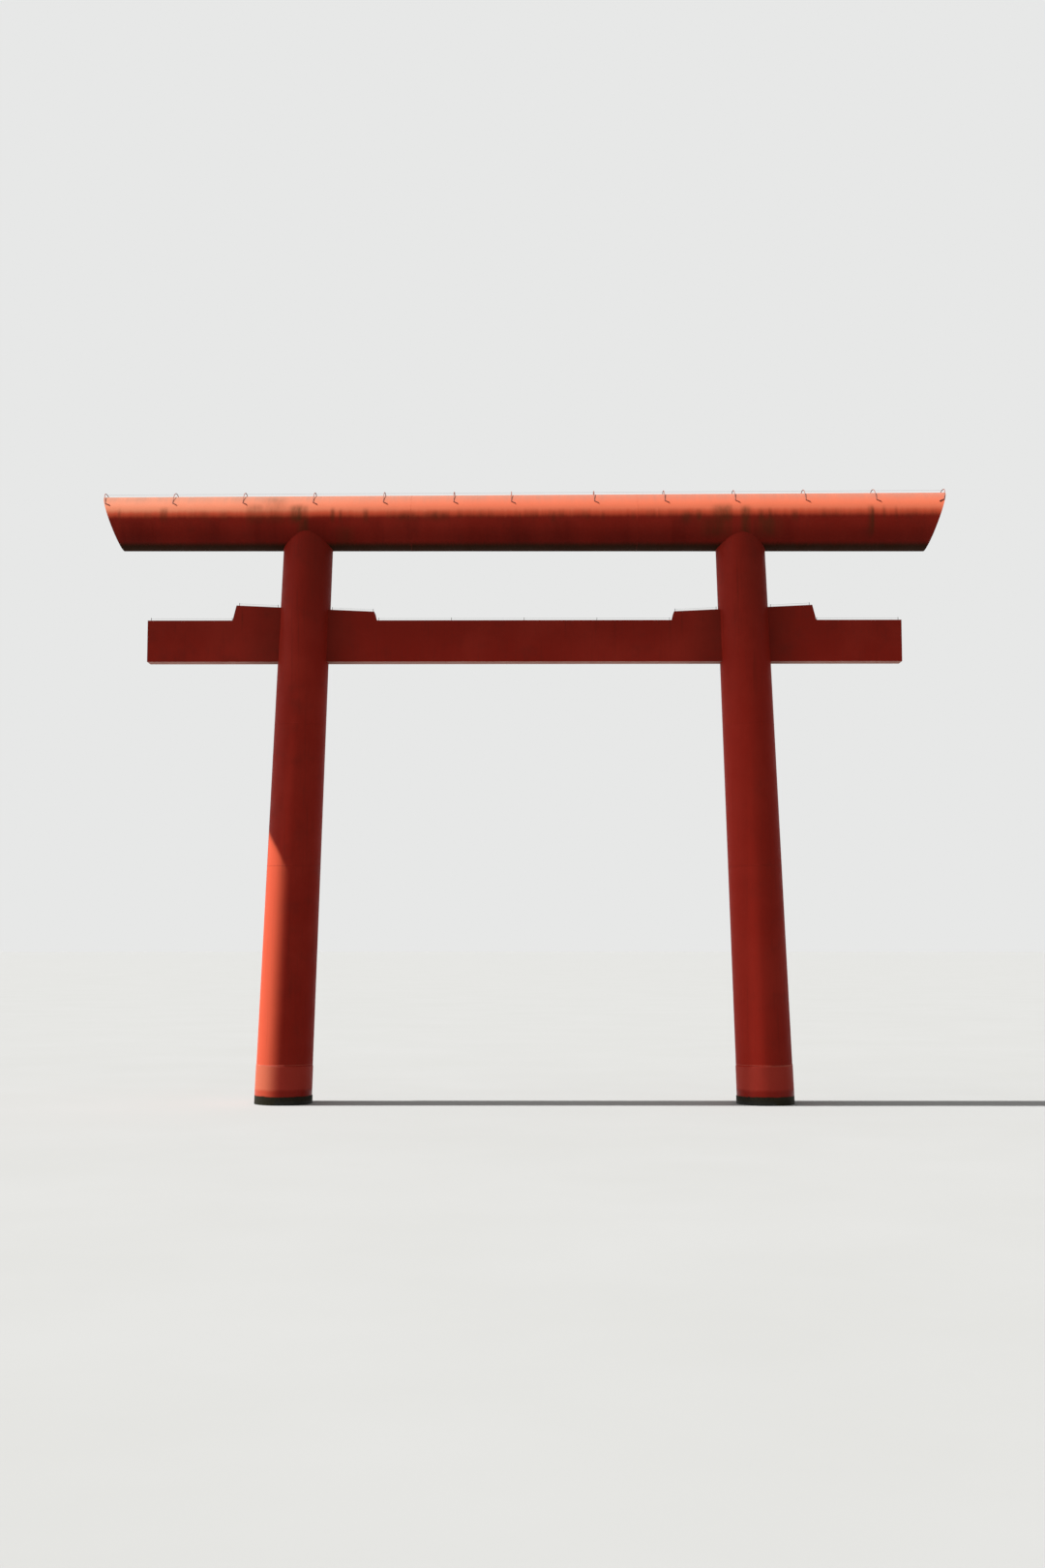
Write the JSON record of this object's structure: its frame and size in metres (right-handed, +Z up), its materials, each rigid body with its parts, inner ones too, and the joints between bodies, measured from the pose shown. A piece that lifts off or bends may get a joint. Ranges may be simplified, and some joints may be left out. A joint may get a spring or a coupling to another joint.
{
  "type": "steel torii gate",
  "caption": "Torii gate of painted steel tube: leaning tapered pillars, a round lintel with slanted ends, a box tie beam with wedges, and bird wires on hoops and pins.",
  "frame": {"origin": "the centre of the left pillar's foot, on the flat face that stands in the ground at water level", "axes": "+X along the gate to the right pillar and the lintel's thicker end, +Y through the gateway, away from the pictured front, +Z up"},
  "size_m": [22.4999, 1.5574, 16.2699],
  "materials": {
    "vermilion_paint": "weathered semi-gloss vermilion paint",
    "foot_coating": "faded thick coating with algae at the waterline",
    "hoop_paint": "worn paint over steel bar",
    "wire_steel": "dull stainless wire"
  },
  "bodies": {
    "root": {"left_foot_sleeve": "foot_coating", "left_inner_wedge": "vermilion_paint", "left_outer_wedge": "vermilion_paint", "left_pillar_foot": "vermilion_paint", "left_pillar_head": "vermilion_paint", "left_pillar_shaft": "vermilion_paint", "lintel_hoop_01": "hoop_paint", "lintel_hoop_02": "hoop_paint", "lintel_hoop_03": "hoop_paint", "lintel_hoop_04": "hoop_paint", "lintel_hoop_05": "hoop_paint", "lintel_hoop_06": "hoop_paint", "lintel_hoop_07": "hoop_paint", "lintel_hoop_08": "hoop_paint", "lintel_hoop_09": "hoop_paint", "lintel_hoop_10": "hoop_paint", "lintel_hoop_11": "hoop_paint", "lintel_hoop_12": "hoop_paint", "lintel_hoop_13": "hoop_paint", "lintel_left": "vermilion_paint", "lintel_left_end_plate": "vermilion_paint", "lintel_middle": "vermilion_paint", "lintel_right": "vermilion_paint", "lintel_right_end_plate": "vermilion_paint", "lintel_wire": "wire_steel", "right_foot_sleeve": "foot_coating", "right_inner_wedge": "vermilion_paint", "right_outer_wedge": "vermilion_paint", "right_pillar_foot": "vermilion_paint", "right_pillar_head": "vermilion_paint", "right_pillar_shaft": "vermilion_paint", "tie_beam_left": "vermilion_paint", "tie_beam_left_end_plate": "vermilion_paint", "tie_beam_middle": "vermilion_paint", "tie_beam_pins": "hoop_paint", "tie_beam_right": "vermilion_paint", "tie_beam_right_end_plate": "vermilion_paint", "tie_beam_wires": "wire_steel"}
  },
  "joints": []
}
